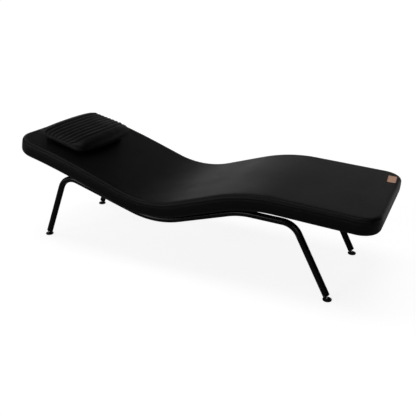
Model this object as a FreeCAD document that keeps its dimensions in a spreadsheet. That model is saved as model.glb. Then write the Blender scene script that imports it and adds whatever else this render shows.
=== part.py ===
import FreeCAD, Part
import Sketcher
import math
import os

# Spa relaxation lounger: an upholstered wave-shaped pad on two bent side rails,
# four swivel glide feet and a loose neck pillow.
# Frame: millimetres, +Z up, floor at Z 0, X from the head end (-) to the foot end (+),
# Y across. The origin lies on the floor below the middle of the lounger.

V = FreeCAD.Vector
UP = V(0, 0, 1)
ACROSS = V(0, 1, 0)
# tolerances for picking edges: a distance, a direction's share and a turn in degrees
SAME_PLACE = 1e-6
UPRIGHT_SHARE = 0.99
SHARP_TURN = 45

doc = FreeCAD.newDocument("lounger")
sheet = doc.addObject("Spreadsheet::Sheet", "sizes")

DRIVING_SIZES = [
    # upholstered pad: its top line runs from the head end as arc, line, arc, line, arc, line
    ("pad_width", 700),
    ("pad_thickness", 85),
    ("pad_edge_radius", 21.5),
    ("head_corner_radius", 120),
    ("foot_corner_radius", 96),
    ("head_end_height", 605),
    ("head_end_slope", 12.4),
    ("back_arc_radius", 4020),
    ("back_arc_turn", 7.5),
    ("back_run", 169),
    ("seat_arc_radius", 517),
    ("seat_arc_turn", 37.6),
    ("thigh_run", 225),
    ("knee_arc_radius", 843),
    ("knee_arc_turn", 21.1),
    ("calf_run", 462),
    # layers of the pad
    ("skin_thickness", 1.5),
    ("seam_depth", 25),
    ("board_thickness", 15),
    ("board_inset", 32),
    ("turned_edge", 46),
    ("cloth_thickness", 0.8),
    ("cloth_gap", 1),
    # leather label near the far foot corner
    ("label_length", 42),
    ("label_width", 96),
    ("label_thickness", 1.4),
    ("label_corner_radius", 4),
    ("label_from_foot", 22),
    ("label_from_side", 84),
    ("label_turn", 3.8),
    # side rails
    ("tube_diameter", 33.7),
    ("tube_wall", 2.6),
    ("rail_inset", 86.5),
    ("head_bend_back", 311),
    ("head_bend_drop", 50),
    ("foot_bend_back", 384),
    ("foot_bend_drop", 53),
    ("seat_rail_drop", 27.4),
    ("seat_rail_shift", 11),
    ("knee_rail_drop", 55.7),
    ("knee_rail_shift", 62),
    ("head_bend_radius", 92),
    ("seat_bend_radius", 478),
    ("knee_bend_radius", 370),
    ("foot_bend_radius", 95),
    ("head_leg_lean", 23),
    ("foot_leg_lean", 28),
    # cross bars and the saddles that join them to the rails
    ("bar_width", 40),
    ("bar_thickness", 8),
    ("bar_overhang", 20),
    ("bar_corner_radius", 6),
    ("saddle_thickness", 8),
    ("saddle_width", 30),
    # screws and flanged insert nuts
    ("screw_diameter", 6),
    ("screw_tip_cover", 2.8),
    ("screw_head_diameter", 10.5),
    ("screw_head_height", 3.3),
    ("screw_crown_radius", 2),
    ("screw_socket", 4),
    ("screw_socket_depth", 2),
    ("screw_end_margin", 71),
    ("screw_play", 0.3),
    ("nut_barrel_diameter", 8),
    ("nut_barrel_length", 11),
    ("nut_flange_diameter", 19),
    ("nut_flange_thickness", 1.4),
    ("nut_sunk", 0.2),
    ("thread_clearance", 0.05),
    # tube plugs with their hex nuts
    ("plug_flange", 2),
    ("plug_length", 28),
    ("plug_clearance", 0.05),
    ("hex_nut_width", 13),
    ("hex_nut_thickness", 6.5),
    ("hex_nut_cover", 1.5),
    # glide feet
    ("stem_diameter", 8),
    ("stem_shown", 13),
    ("stem_length", 64),
    ("neck_diameter", 5.8),
    ("neck_length", 8),
    ("ball_diameter", 10),
    ("ball_height", 12),
    ("ball_clearance", 0.05),
    ("disc_diameter", 44),
    ("disc_rim", 4.5),
    ("disc_rim_radius", 1.5),
    ("boss_diameter", 18),
    ("boss_foot_diameter", 28),
    ("boss_above_ball", 1.6),
    ("sole_thickness", 2),
    ("sole_inset", 1),
    # neck pillow
    ("pillow_width", 498),
    ("pillow_length", 326),
    ("pillow_from_head", 74),
    ("pillow_clearance", 0.3),
    ("pillow_seam_height", 28),
    ("pillow_head_height", 55),
    ("pillow_first_groove", 54),
    ("pillow_groove_height", 54),
    ("pillow_last_groove_height", 74),
    ("channel_pitch", 29.8),
    ("channel_bulge", 5.5),
    ("pillow_front_bow", 26),
    ("pillow_head_bow", 8),
    ("pillow_corner_radius", 24),
    ("pillow_wall", 1.5),
]

SCREWS_PER_BAR = 4

for row, (name, value) in enumerate(DRIVING_SIZES, start=1):
    sheet.set(f"A{row}", name)
    sheet.set(f"B{row}", str(value))
    sheet.setAlias(f"B{row}", name)
doc.recompute()


def size(name):
    """A driving size, read back from the sheet."""
    return float(getattr(sheet, name))


def bind(feature, **sizes):
    """Tie properties of a feature to expressions in the sheet's names."""
    for prop, expression in sizes.items():
        feature.setExpression(prop, expression)


nodes = []


def keep(feature, label):
    """Name a sub-part and list it for export."""
    feature.Label = label
    nodes.append((label, feature))
    return feature


def part_feature(label, shape, placement=None):
    """A sub-part whose shape is worked out in this file."""
    feature = doc.addObject("Part::Feature", label)
    feature.Shape = shape
    if placement is not None:
        feature.Placement = placement
    return keep(feature, label)


def copies(label, master, placements):
    """A sub-part that is a group of placed copies of one master piece."""
    placed = []
    for placement in placements:
        copy = master.Shape.copy()
        copy.Placement = placement.multiply(copy.Placement)
        placed.append(copy)
    return part_feature(label, Part.makeCompound(placed) if len(placed) > 1 else placed[0])


def origin_plane(body, role):
    """One of a body's own origin planes, found by its role."""
    return [f for f in body.Origin.OriginFeatures if f.Role == role][0]


def sketch_on(body, name, role="XY_Plane", offset=None):
    """A sketch attached to one of the body's origin planes, lifted by an expression."""
    sketch = body.newObject("Sketcher::SketchObject", name)
    sketch.AttachmentSupport = [(origin_plane(body, role), "")]
    sketch.MapMode = "FlatFace"
    if offset:
        sketch.setExpression("AttachmentOffset.Base.z", offset)
    return sketch


def relate(sketch, *arguments):
    """Add one geometric constraint to a sketch."""
    return sketch.addConstraint(Sketcher.Constraint(*arguments))


def measure(sketch, expression, *arguments):
    """Add one dimension to a sketch and bind it to an expression."""
    index = relate(sketch, *arguments)
    sketch.setExpression(f"Constraints[{index}]", expression)


def circle_in(sketch, radius):
    """A circle about the sketch's origin, its radius bound to an expression."""
    index = sketch.addGeometry(Part.Circle(V(0, 0, 0), UP, 1), False)
    relate(sketch, "Coincident", index, 3, -1, 1)
    measure(sketch, radius, "Radius", index, 1.0)


def rectangle_in(sketch, length, width):
    """A rectangle centred on the sketch's origin, bound to two expressions."""
    corners = [V(-1, -1, 0), V(1, -1, 0), V(1, 1, 0), V(-1, 1, 0)]
    for first, second in zip(corners, corners[1:] + corners[:1]):
        sketch.addGeometry(Part.LineSegment(first, second), False)
    for side in range(4):
        relate(sketch, "Coincident", side, 2, (side + 1) % 4, 1)
        relate(sketch, "Vertical" if side % 2 else "Horizontal", side)
    relate(sketch, "Symmetric", 0, 1, 2, 1, -1, 1)
    measure(sketch, length, "DistanceX", 0, 1, 0, 2, 2.0)
    measure(sketch, width, "DistanceY", 1, 1, 1, 2, 2.0)


def hexagon_in(sketch, across):
    """A hexagon centred on the origin, its width across flats bound to an expression."""
    points = [V(math.cos(math.radians(60 * k)), math.sin(math.radians(60 * k)), 0)
              for k in range(6)]
    for first, second in zip(points, points[1:] + points[:1]):
        sketch.addGeometry(Part.LineSegment(first, second), False)
    ring = sketch.addGeometry(Part.Circle(V(0, 0, 0), UP, 1), True)
    relate(sketch, "Coincident", ring, 3, -1, 1)
    for side in range(6):
        relate(sketch, "Coincident", side, 2, (side + 1) % 6, 1)
        relate(sketch, "PointOnObject", side, 1, ring)
    for side in range(5):
        relate(sketch, "Equal", side, side + 1)
    relate(sketch, "PointOnObject", 0, 1, -1)
    measure(sketch, f"({across}) / sqrt(3)", "Radius", ring, 1.0)


def pad_up(body, sketch, length, name="Pad", down=False):
    """Pad a sketch by an expression, upwards unless down is set."""
    pad = body.newObject("PartDesign::Pad", name)
    pad.Profile = sketch
    pad.Reversed = down
    pad.setExpression("Length", length)
    return pad


def pocket_in(body, sketch, length, name="Pocket", up=False):
    """Pocket a sketch by an expression, downwards unless up is set."""
    pocket = body.newObject("PartDesign::Pocket", name)
    pocket.Profile = sketch
    pocket.Reversed = up
    pocket.setExpression("Length", length)
    return pocket


# The pad's top line, worked out once from the sheet

def heading_vector(heading):
    return V(math.cos(heading), 0, math.sin(heading))


def down_vector(heading):
    return V(math.sin(heading), 0, -math.cos(heading))


class Line:
    """A straight stretch of the top line."""

    def __init__(self, start, heading, length):
        self.start = start
        self.heading = heading
        self.length = length
        self.curvature = 0.0

    def at(self, run, depth):
        along = heading_vector(self.heading) * run
        return self.start + along + down_vector(self.heading) * depth

    def heading_at(self, run):
        return self.heading

    def nearest(self, point):
        return (point - self.start).dot(heading_vector(self.heading))


class Arc:
    """A round stretch: it turns up where turn is positive and down where it is negative."""

    def __init__(self, start, heading, radius, turn):
        self.start = start
        self.heading = heading
        self.side = 1 if turn > 0 else -1
        self.radius = radius
        self.length = radius * abs(turn)
        self.curvature = self.side / radius
        self.centre = start - down_vector(heading) * (radius * self.side)

    def heading_at(self, run):
        return self.heading + self.curvature * run

    def at(self, run, depth):
        reach = self.radius * self.side + depth
        return self.centre + down_vector(self.heading_at(run)) * reach

    def nearest(self, point):
        out = (point - self.centre) * self.side
        return (math.atan2(out.x, -out.z) - self.heading) / self.curvature


def top_line(start):
    """The stretches of the pad's top line, in order from the head end."""
    stretches = []
    point = start
    heading = -math.radians(size("head_end_slope"))
    plan = [
        ("arc", "back_arc", -1), ("line", "back_run", 0), ("arc", "seat_arc", 1),
        ("line", "thigh_run", 0), ("arc", "knee_arc", -1), ("line", "calf_run", 0),
    ]
    for kind, name, side in plan:
        if kind == "arc":
            turn = side * math.radians(size(name + "_turn"))
            stretch = Arc(point, heading, size(name + "_radius"), turn)
        else:
            stretch = Line(point, heading, size(name))
        stretches.append(stretch)
        point = stretch.at(stretch.length, 0)
        heading = stretch.heading_at(stretch.length)
    return stretches


def end_reach(stretches):
    """The pad's lowest and highest X, where its rounded ends reach furthest."""
    edge = size("pad_edge_radius")
    first = stretches[0]
    last = stretches[-1]
    head_centre = first.at(edge, size("pad_thickness") - edge)
    foot_centre = last.at(last.length - edge, edge)
    return head_centre.x - edge, foot_centre.x + edge


trial = top_line(V(0, 0, size("head_end_height")))
head_reach, foot_reach = end_reach(trial)
top = top_line(V(-(head_reach + foot_reach) / 2, 0, size("head_end_height")))
pad_length = sum(stretch.length for stretch in top)


def clipped(start, end):
    """The stretches between two runs from the head end, as stretch, first and last run."""
    spans = []
    before = 0.0
    for index, stretch in enumerate(top):
        low = start - before if index == 0 else max(start - before, 0.0)
        high = end - before if index == len(top) - 1 else min(end - before, stretch.length)
        if high > low:
            spans.append((stretch, low, high))
        before += stretch.length
    return spans


def line_edges(depth, start, end):
    """Edges that follow the top line at a depth below it."""
    edges = []
    for stretch, low, high in clipped(start, end):
        first = stretch.at(low, depth)
        last = stretch.at(high, depth)
        if stretch.curvature:
            middle = stretch.at((low + high) / 2, depth)
            edges.append(Part.Arc(first, middle, last).toShape())
        else:
            edges.append(Part.LineSegment(first, last).toShape())
    return edges


def layer(upper, lower, start, end, width):
    """A solid between two depths, from one run to another, centred across."""
    above = line_edges(upper, start, end)
    below = line_edges(lower, start, end)
    ends = [
        Part.LineSegment(above[-1].Vertexes[-1].Point, below[-1].Vertexes[-1].Point).toShape(),
        Part.LineSegment(below[0].Vertexes[0].Point, above[0].Vertexes[0].Point).toShape(),
    ]
    wire = Part.Wire(Part.__sortEdges__(above + below + ends))
    face = Part.Face(wire)
    face.translate(V(0, -width / 2, 0))
    return face.extrude(V(0, width, 0))


def edge_near(shape, point):
    """The edge whose middle lies nearest to a point."""
    def distance(edge):
        middle = edge.valueAt((edge.FirstParameter + edge.LastParameter) / 2)
        return middle.distanceToPoint(point)
    return min(shape.Edges, key=distance)


def rounded_layer(upper, lower, inset):
    """A layer that lies inside the pad's outline, with its four corners rounded."""
    width = size("pad_width") - 2 * inset
    solid = layer(upper, lower, inset, pad_length - inset, width)
    middle = (upper + lower) / 2
    first = top[0]
    last = top[-1]
    for stretch, run, radius in (
        (first, inset, size("head_corner_radius")),
        (last, last.length - inset, size("foot_corner_radius")),
    ):
        corner = stretch.at(run, middle)
        picked = []
        for side in (-1, 1):
            picked.append(edge_near(solid, corner + ACROSS * (side * width / 2)))
        solid = solid.makeFillet(radius - inset, picked)
    return solid


def sharp_edges(shape):
    """The edges where two faces meet at an angle."""
    picked = []
    for edge in shape.Edges:
        faces = shape.ancestorsOfType(edge, Part.Face)
        if len(faces) != 2:
            continue
        middle = edge.valueAt((edge.FirstParameter + edge.LastParameter) / 2)
        normals = []
        for face in faces:
            u, v = face.Surface.parameter(middle)
            normals.append(face.normalAt(u, v))
        if normals[0].getAngle(normals[1]) > math.radians(SHARP_TURN):
            picked.append(edge)
    return picked


def pad_form(inset):
    """The pad's full form, a skin's thickness inside the outer one where inset says so."""
    block = rounded_layer(inset, size("pad_thickness") - inset, inset)
    return block.makeFillet(size("pad_edge_radius") - inset, sharp_edges(block))


# Rails: a polygon with rounded corners in the plane of each rail

def tangent_cross(before, after, depth):
    """Where the straight stretches before and after an arc would meet at a depth."""
    first = before.at(before.length, depth)
    second = after.at(0, depth)
    a = heading_vector(before.heading_at(before.length))
    b = heading_vector(after.heading)
    across = a.x * b.z - a.z * b.x
    gap = second - first
    run = (gap.x * b.z - gap.z * b.x) / across
    return first + a * run


def foot_stack(corner, lean, side):
    """Ball centre and tube end of a leg that leans out from a rail corner."""
    out = V(side * math.sin(math.radians(lean)), 0, -math.cos(math.radians(lean)))
    fall = (corner.z - size("ball_height")) / -out.z
    ball = corner + out * fall
    tube_end = ball - out * (size("stem_shown") + size("plug_flange"))
    return ball, tube_end


underside = size("pad_thickness")
head_corner = top[0].at(size("head_bend_back"), underside + size("head_bend_drop"))
calf = top[-1]
foot_corner = calf.at(calf.length - size("foot_bend_back"), underside + size("foot_bend_drop"))
seat_corner = tangent_cross(top[1], top[3], underside)
seat_corner += V(size("seat_rail_shift"), 0, -size("seat_rail_drop"))
knee_corner = tangent_cross(top[3], top[5], underside)
knee_corner -= V(size("knee_rail_shift"), 0, size("knee_rail_drop"))
head_ball, head_tube_end = foot_stack(head_corner, size("head_leg_lean"), -1)
foot_ball, foot_tube_end = foot_stack(foot_corner, size("foot_leg_lean"), 1)
rail_corners = [head_corner, seat_corner, knee_corner, foot_corner]
rail_radii = [
    size("head_bend_radius"), size("seat_bend_radius"),
    size("knee_bend_radius"), size("foot_bend_radius"),
]


def rounded_path(points, radii):
    """A wire of straight runs joined by tangent arcs, and its runs as start and end."""
    edges = []
    runs = []
    here = points[0]
    for before, corner, after, radius in zip(points, points[1:], points[2:], radii):
        back = (before - corner).normalize()
        on = (after - corner).normalize()
        half = back.getAngle(on) / 2
        tangent = radius / math.tan(half)
        first = corner + back * tangent
        last = corner + on * tangent
        bisector = (back + on).normalize()
        centre = corner + bisector * (radius / math.sin(half))
        middle = centre - bisector * radius
        edges.append(Part.LineSegment(here, first).toShape())
        runs.append((here, first))
        edges.append(Part.Arc(first, middle, last).toShape())
        here = last
    edges.append(Part.LineSegment(here, points[-1]).toShape())
    runs.append((here, points[-1]))
    return Part.Wire(edges), runs


rail_points = [head_tube_end] + rail_corners + [foot_tube_end]
rail_path, rail_runs = rounded_path(rail_points, rail_radii)
rail_offset = size("pad_width") / 2 - size("rail_inset")
tube_radius = size("tube_diameter") / 2
tube_bore = tube_radius - size("tube_wall")


def swept_ring(path, outer, inner):
    """A tube of round section along a path in the XZ plane."""
    start = path.Edges[0].Vertexes[0].Point
    along = path.Edges[0].tangentAt(path.Edges[0].FirstParameter)
    solids = []
    for radius in (outer, inner):
        ring = Part.Wire(Part.makeCircle(radius, start, along))
        solids.append(path.makePipe(Part.Face(ring)))
    return solids[0].cut(solids[1])


rail_shape = swept_ring(rail_path, tube_radius, tube_bore)
SIDES = (("near", -1), ("far", 1))
for side_name, side in SIDES:
    rail = rail_shape.copy()
    rail.translate(ACROSS * (side * rail_offset))
    part_feature(f"side_rail_{side_name}", rail)


# Cross bars: flat bars under the board, joined to the rails by saddles

# each bar's name, the straight run of the rail that carries it, and its place along that run
BAR_RUN_SHARES = [
    ("back", 1, 0.12), ("lumbar", 1, 0.86), ("thigh", 2, 0.42), ("knee", 3, 0.12),
]
cloth_face = size("pad_thickness") - size("skin_thickness") + size("cloth_thickness")


def square_to(point):
    """The stretch and run of the top line whose normal passes through a point."""
    best = None
    for stretch in top:
        run = stretch.nearest(point)
        if -SAME_PLACE <= run <= stretch.length + SAME_PLACE:
            depth = (point - stretch.at(run, 0)).dot(down_vector(stretch.heading_at(run)))
            if best is None or abs(depth) < abs(best[2]):
                best = (stretch, run, depth)
    return best


def bar_station(run_index, share):
    """Placement of a cross bar, the rail's depth below it and the rail's own slope."""
    start, end = rail_runs[run_index]
    point = start + (end - start) * share
    stretch, run, depth = square_to(point)
    heading = stretch.heading_at(run)
    seat = cloth_face
    if stretch.curvature < 0:
        inner = stretch.radius - cloth_face
        seat += inner - math.sqrt(inner ** 2 - (size("bar_width") / 2) ** 2)
    turn = FreeCAD.Rotation(ACROSS, -math.degrees(heading))
    placement = FreeCAD.Placement(stretch.at(run, seat), turn)
    along = end - start
    rail_slope = math.degrees(math.atan2(along.z, along.x) - heading)
    return placement, depth - seat, rail_slope


def moved(placement, x, y, z):
    """A placement shifted in its own axes."""
    return placement.multiply(FreeCAD.Placement(V(x, y, z), FreeCAD.Rotation()))


BAR_LENGTH = "sizes.pad_width - 2 * sizes.rail_inset + 2 * sizes.bar_overhang"
FIRST_SCREW = "sizes.screw_end_margin"


def upright_edges(shape):
    """The names of a plate's straight upright edges, the corners of its outline."""
    names = []
    for index, edge in enumerate(shape.Edges, start=1):
        straight = edge.Curve.TypeId == "Part::GeomLine" and len(edge.Vertexes) == 2
        if straight and abs(edge.tangentAt(edge.FirstParameter).z) > UPRIGHT_SHARE:
            names.append(f"Edge{index}")
    return names


def cross_bar(name, placement):
    """A flat bar with screw holes in a line; its top face lies at its own Z 0."""
    body = doc.addObject("PartDesign::Body", f"cross_bar_{name}")
    outline = sketch_on(body, "outline")
    rectangle_in(outline, "sizes.bar_width", BAR_LENGTH)
    bar = pad_up(body, outline, "sizes.bar_thickness", down=True)
    doc.recompute()
    plain = body.Shape.Volume
    hole_sketch = sketch_on(body, "screw_hole")
    ring = hole_sketch.addGeometry(Part.Circle(V(0, 0, 0), UP, 1), False)
    relate(hole_sketch, "PointOnObject", ring, 3, -2)
    measure(hole_sketch, f"({BAR_LENGTH}) / 2 - {FIRST_SCREW}", "DistanceY", ring, 3, -1, 1, 1.0)
    measure(hole_sketch, "sizes.screw_diameter / 2 + sizes.screw_play", "Radius", ring, 1.0)
    pocket = body.newObject("PartDesign::Pocket", "hole")
    pocket.Profile = hole_sketch
    pocket.Type = 1
    pocket.Midplane = True
    pattern = body.newObject("PartDesign::LinearPattern", "holes")
    pattern.Originals = [pocket]
    pattern.Direction = (hole_sketch, ["V_Axis"])
    pattern.Occurrences = SCREWS_PER_BAR
    pattern.setExpression("Length", f"{BAR_LENGTH} - 2 * {FIRST_SCREW}")
    body.Tip = pattern
    doc.recompute()
    fillet = body.newObject("PartDesign::Fillet", "corners")
    fillet.Base = (pattern, upright_edges(pattern.Shape))
    fillet.setExpression("Radius", "sizes.bar_corner_radius")
    body.Tip = fillet
    doc.recompute()
    if body.Shape.Volume >= plain:
        raise RuntimeError(f"{body.Name}: the screw holes cut nothing")
    body.Placement = placement
    return keep(body, f"cross_bar_{name}")


def saddles(name, placement, rail_depth, rail_slope):
    """Two steel webs between a cross bar and the rails, hollowed to sit on the tube."""
    webs = []
    for side_name, side in SIDES:
        block = doc.addObject("Part::Box", f"saddle_block_{name}_{side_name}")
        bind(block, Length="sizes.saddle_width", Width="sizes.saddle_thickness")
        block.Height = rail_depth - size("bar_thickness")
        block.Placement = FreeCAD.Placement(
            V(-size("saddle_width") / 2, side * rail_offset - size("saddle_thickness") / 2,
              -rail_depth), FreeCAD.Rotation())
        tube = doc.addObject("Part::Cylinder", f"saddle_seat_{name}_{side_name}")
        bind(tube, Radius="sizes.tube_diameter / 2", Height="2 * sizes.saddle_width")
        lying = FreeCAD.Rotation(ACROSS, 90 - rail_slope)
        start = lying.multVec(V(0, 0, -size("saddle_width")))
        tube.Placement = FreeCAD.Placement(V(0, side * rail_offset, -rail_depth) + start, lying)
        web = doc.addObject("Part::Cut", f"saddle_{name}_{side_name}")
        web.Base = block
        web.Tool = tube
        webs.append(web)
    pair = doc.addObject("Part::Compound", f"saddles_{name}")
    pair.Links = webs
    pair.Placement = placement
    return keep(pair, f"saddles_{name}")


bar_length = 2 * (rail_offset + size("bar_overhang"))
screw_reach = bar_length / 2 - size("screw_end_margin")
screw_step = 2 * screw_reach / (SCREWS_PER_BAR - 1)
screw_places = [screw_step * index - screw_reach for index in range(SCREWS_PER_BAR)]
bar_placements = []
for bar_name, run_index, run_share in BAR_RUN_SHARES:
    station, rail_depth, rail_slope = bar_station(run_index, run_share)
    cross_bar(bar_name, station)
    saddles(bar_name, station, rail_depth, rail_slope)
    bar_placements.append(station)
    print(f"bar {bar_name}: rail centre {rail_depth:.1f} below it, slope {rail_slope:.1f}")


# Screws and insert nuts: one master each, copied to every screw place

def screw_master():
    """A button-head socket screw; its head's bearing face lies at Z 0, the tip points up."""
    body = doc.addObject("PartDesign::Body", "screw_master")
    shank = sketch_on(body, "shank_circle")
    circle_in(shank, "sizes.screw_diameter / 2")
    stack = "sizes.bar_thickness + sizes.cloth_thickness + sizes.board_thickness"
    pad_up(body, shank, f"{stack} - sizes.screw_tip_cover", "shank")
    head = sketch_on(body, "head_circle")
    circle_in(head, "sizes.screw_head_diameter / 2")
    head_pad = pad_up(body, head, "sizes.screw_head_height", "head", down=True)
    doc.recompute()
    rim = [f"Edge{i + 1}" for i, e in enumerate(head_pad.Shape.Edges)
           if abs(e.BoundBox.ZMax + size("screw_head_height")) < SAME_PLACE]
    crown = body.newObject("PartDesign::Fillet", "crown")
    crown.Base = (head_pad, rim)
    crown.setExpression("Radius", "sizes.screw_crown_radius")
    doc.recompute()
    socket = sketch_on(body, "socket", offset="-sizes.screw_head_height")
    hexagon_in(socket, "sizes.screw_socket")
    pocket_in(body, socket, "sizes.screw_socket_depth", "hex", up=True)
    doc.recompute()
    return body


def insert_nut_master():
    """A flanged insert nut; the flange's top lies at Z 0 and the barrel points down."""
    body = doc.addObject("PartDesign::Body", "insert_nut_master")
    flange = sketch_on(body, "flange_circle")
    circle_in(flange, "sizes.nut_flange_diameter / 2")
    pad_up(body, flange, "sizes.nut_flange_thickness", "flange", down=True)
    barrel = sketch_on(body, "barrel_circle")
    circle_in(barrel, "sizes.nut_barrel_diameter / 2")
    pad_up(body, barrel, "sizes.nut_barrel_length", "barrel", down=True)
    bore = sketch_on(body, "bore_circle")
    circle_in(bore, "sizes.screw_diameter / 2 + sizes.thread_clearance")
    hole = body.newObject("PartDesign::Pocket", "thread")
    hole.Profile = bore
    hole.Type = 1
    hole.Midplane = True
    doc.recompute()
    return body


screw = screw_master()
insert_nut = insert_nut_master()
board_top = size("pad_thickness") - size("skin_thickness") - size("board_thickness")
screw_spots = []
nut_spots = []
for station in bar_placements:
    for across in screw_places:
        screw_spots.append(moved(station, 0, across, -size("bar_thickness")))
        nut_lift = cloth_face - board_top - size("nut_sunk")
        nut_spots.append(moved(station, 0, across, nut_lift))
copies("mounting_screws", screw, screw_spots)
copies("insert_nuts", insert_nut, nut_spots)


# The pad: base board, foam, two covers, dust cloth and label

outer_form = pad_form(0)
inner_form = pad_form(size("skin_thickness"))
skin = size("skin_thickness")
overrun = size("pad_edge_radius")
far_start = -overrun
far_end = pad_length + overrun
wide = size("pad_width") + 2 * overrun


def holes_at(placements, radius, low, high):
    """Upright cylinders in each placement's own axes, from low to high."""
    tools = []
    for placement in placements:
        tool = Part.makeCylinder(radius, high - low, V(0, 0, low), UP)
        tool.Placement = placement
        tools.append(tool)
    return Part.makeCompound(tools)


board = rounded_layer(board_top, size("pad_thickness") - skin, size("board_inset"))
foam = inner_form.cut(board)
barrel_hole = size("nut_barrel_diameter") / 2 + size("thread_clearance")
flange_hole = size("nut_flange_diameter") / 2 + size("screw_play")
flange_depth = size("nut_flange_thickness") + size("nut_sunk")
through = holes_at(nut_spots, barrel_hole, -size("board_thickness") - skin, overrun)
sinks = holes_at(nut_spots, flange_hole, -size("nut_flange_thickness"), overrun)
board = board.cut(through).cut(sinks)
part_feature("base_board", board)
part_feature("foam_core", foam)

upper_zone = layer(-overrun, size("seam_depth"), far_start, far_end, wide)
lower_zone = layer(size("seam_depth"), underside + overrun, far_start, far_end, wide)
window = rounded_layer(underside - skin - overrun, underside + overrun, size("turned_edge"))
part_feature("cover_top", outer_form.common(upper_zone).cut(inner_form))
part_feature("cover_band", outer_form.common(lower_zone).cut(inner_form).cut(window))

cloth_zone = layer(underside - skin, cloth_face, far_start, far_end, wide)
cloth_inset = size("turned_edge") + size("cloth_gap")
cloth = rounded_layer(underside - overrun, underside + overrun, cloth_inset).common(cloth_zone)
cloth_holes = holes_at(
    screw_spots, size("screw_diameter") / 2 + size("screw_play"),
    size("bar_thickness") - overrun, size("bar_thickness") + overrun)
part_feature("dust_cloth", cloth.cut(cloth_holes))

label_body = doc.addObject("PartDesign::Body", "leather_label")
label_outline = sketch_on(label_body, "outline")
rectangle_in(label_outline, "sizes.label_length", "sizes.label_width")
label_pad = pad_up(label_body, label_outline, "sizes.label_thickness")
doc.recompute()
label_corners = label_body.newObject("PartDesign::Fillet", "corners")
label_corners.Base = (label_pad, upright_edges(label_pad.Shape))
label_corners.setExpression("Radius", "sizes.label_corner_radius")
doc.recompute()
label_run = calf.length - size("label_from_foot") - size("label_length") / 2
label_across = size("pad_width") / 2 - size("label_from_side") - size("label_width") / 2
label_slope = FreeCAD.Rotation(ACROSS, -math.degrees(calf.heading))
label_turn = FreeCAD.Rotation(UP, size("label_turn"))
label_body.Placement = FreeCAD.Placement(
    calf.at(label_run, 0) + ACROSS * label_across, label_slope.multiply(label_turn))
keep(label_body, "leather_label")


# Tube plugs and their hex nuts, stems, glide discs and soles

def plug_master():
    """A plastic plug with a flange; the tube's end lies at Z 0 and the tube goes up."""
    body = doc.addObject("PartDesign::Body", "plug_master")
    flange = sketch_on(body, "flange_circle")
    circle_in(flange, "sizes.tube_diameter / 2")
    pad_up(body, flange, "sizes.plug_flange", "flange", down=True)
    core = sketch_on(body, "core_circle")
    circle_in(core, "sizes.tube_diameter / 2 - sizes.tube_wall - sizes.plug_clearance")
    pad_up(body, core, "sizes.plug_length", "core")
    bore = sketch_on(body, "bore_circle")
    circle_in(bore, "sizes.stem_diameter / 2 + sizes.thread_clearance")
    hole = body.newObject("PartDesign::Pocket", "bore")
    hole.Profile = bore
    hole.Type = 1
    hole.Midplane = True
    doc.recompute()
    seat = sketch_on(body, "nut_seat", offset="sizes.plug_length")
    hexagon_in(seat, "sizes.hex_nut_width + 2 * sizes.plug_clearance")
    pocket_in(body, seat, "sizes.hex_nut_thickness + sizes.hex_nut_cover", "nut_pocket")
    doc.recompute()
    return body


def hex_nut_master():
    """The steel nut in the plug's upper end; its lower face lies at Z 0."""
    body = doc.addObject("PartDesign::Body", "hex_nut_master")
    outline = sketch_on(body, "outline")
    hexagon_in(outline, "sizes.hex_nut_width")
    circle_in(outline, "sizes.stem_diameter / 2 + sizes.thread_clearance")
    pad_up(body, outline, "sizes.hex_nut_thickness")
    doc.recompute()
    return body


def stem_master():
    """A stem with a ball at its lower end; the ball's centre lies at its origin."""
    ball = doc.addObject("Part::Sphere", "stem_ball")
    bind(ball, Radius="sizes.ball_diameter / 2")
    neck = doc.addObject("Part::Cylinder", "stem_neck")
    bind(neck, Radius="sizes.neck_diameter / 2", Height="sizes.neck_length")
    taper = doc.addObject("Part::Cone", "stem_taper")
    bind(taper, Radius1="sizes.neck_diameter / 2", Radius2="sizes.stem_diameter / 2",
         Height="(sizes.stem_diameter - sizes.neck_diameter) / 2")
    bind(taper, **{"Placement.Base.z": "sizes.neck_length"})
    shank = doc.addObject("Part::Cylinder", "stem_shank")
    bind(shank, Radius="sizes.stem_diameter / 2")
    start = "sizes.neck_length + (sizes.stem_diameter - sizes.neck_diameter) / 2"
    bind(shank, Height=f"sizes.stem_length - ({start})", **{"Placement.Base.z": start})
    whole = doc.addObject("Part::MultiFuse", "stem_master")
    whole.Shapes = [ball, neck, taper, shank]
    doc.recompute()
    return whole


def disc_master():
    """The glide disc with its ball socket; the ball's centre lies at its origin."""
    low = "sizes.sole_thickness - sizes.ball_height"
    rim = doc.addObject("Part::Cylinder", "disc_rim_block")
    bind(rim, Radius="sizes.disc_diameter / 2", Height="sizes.disc_rim")
    bind(rim, **{"Placement.Base.z": low})
    boss = doc.addObject("Part::Cone", "disc_boss")
    boss_low = f"{low} + sizes.disc_rim"
    bind(boss, Radius1="sizes.boss_foot_diameter / 2", Radius2="sizes.boss_diameter / 2",
         Height=f"sizes.boss_above_ball - ({boss_low})", **{"Placement.Base.z": boss_low})
    whole = doc.addObject("Part::MultiFuse", "disc_block")
    whole.Shapes = [rim, boss]
    socket = doc.addObject("Part::Sphere", "disc_socket")
    bind(socket, Radius="sizes.ball_diameter / 2 + sizes.ball_clearance")
    cut = doc.addObject("Part::Cut", "disc_cut")
    cut.Base = whole
    cut.Tool = socket
    doc.recompute()
    rim_top = size("sole_thickness") - size("ball_height") + size("disc_rim")
    radius = size("disc_rim_radius")
    edges = []
    for index, edge in enumerate(cut.Shape.Edges, start=1):
        box = edge.BoundBox
        level = abs(box.ZMax - rim_top) < SAME_PLACE and box.ZLength < SAME_PLACE
        if level and abs(box.XMax - size("disc_diameter") / 2) < SAME_PLACE:
            edges.append((index, radius, radius))
    rounded = doc.addObject("Part::Fillet", "disc_master")
    rounded.Base = cut
    rounded.Edges = edges
    doc.recompute()
    return rounded


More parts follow.
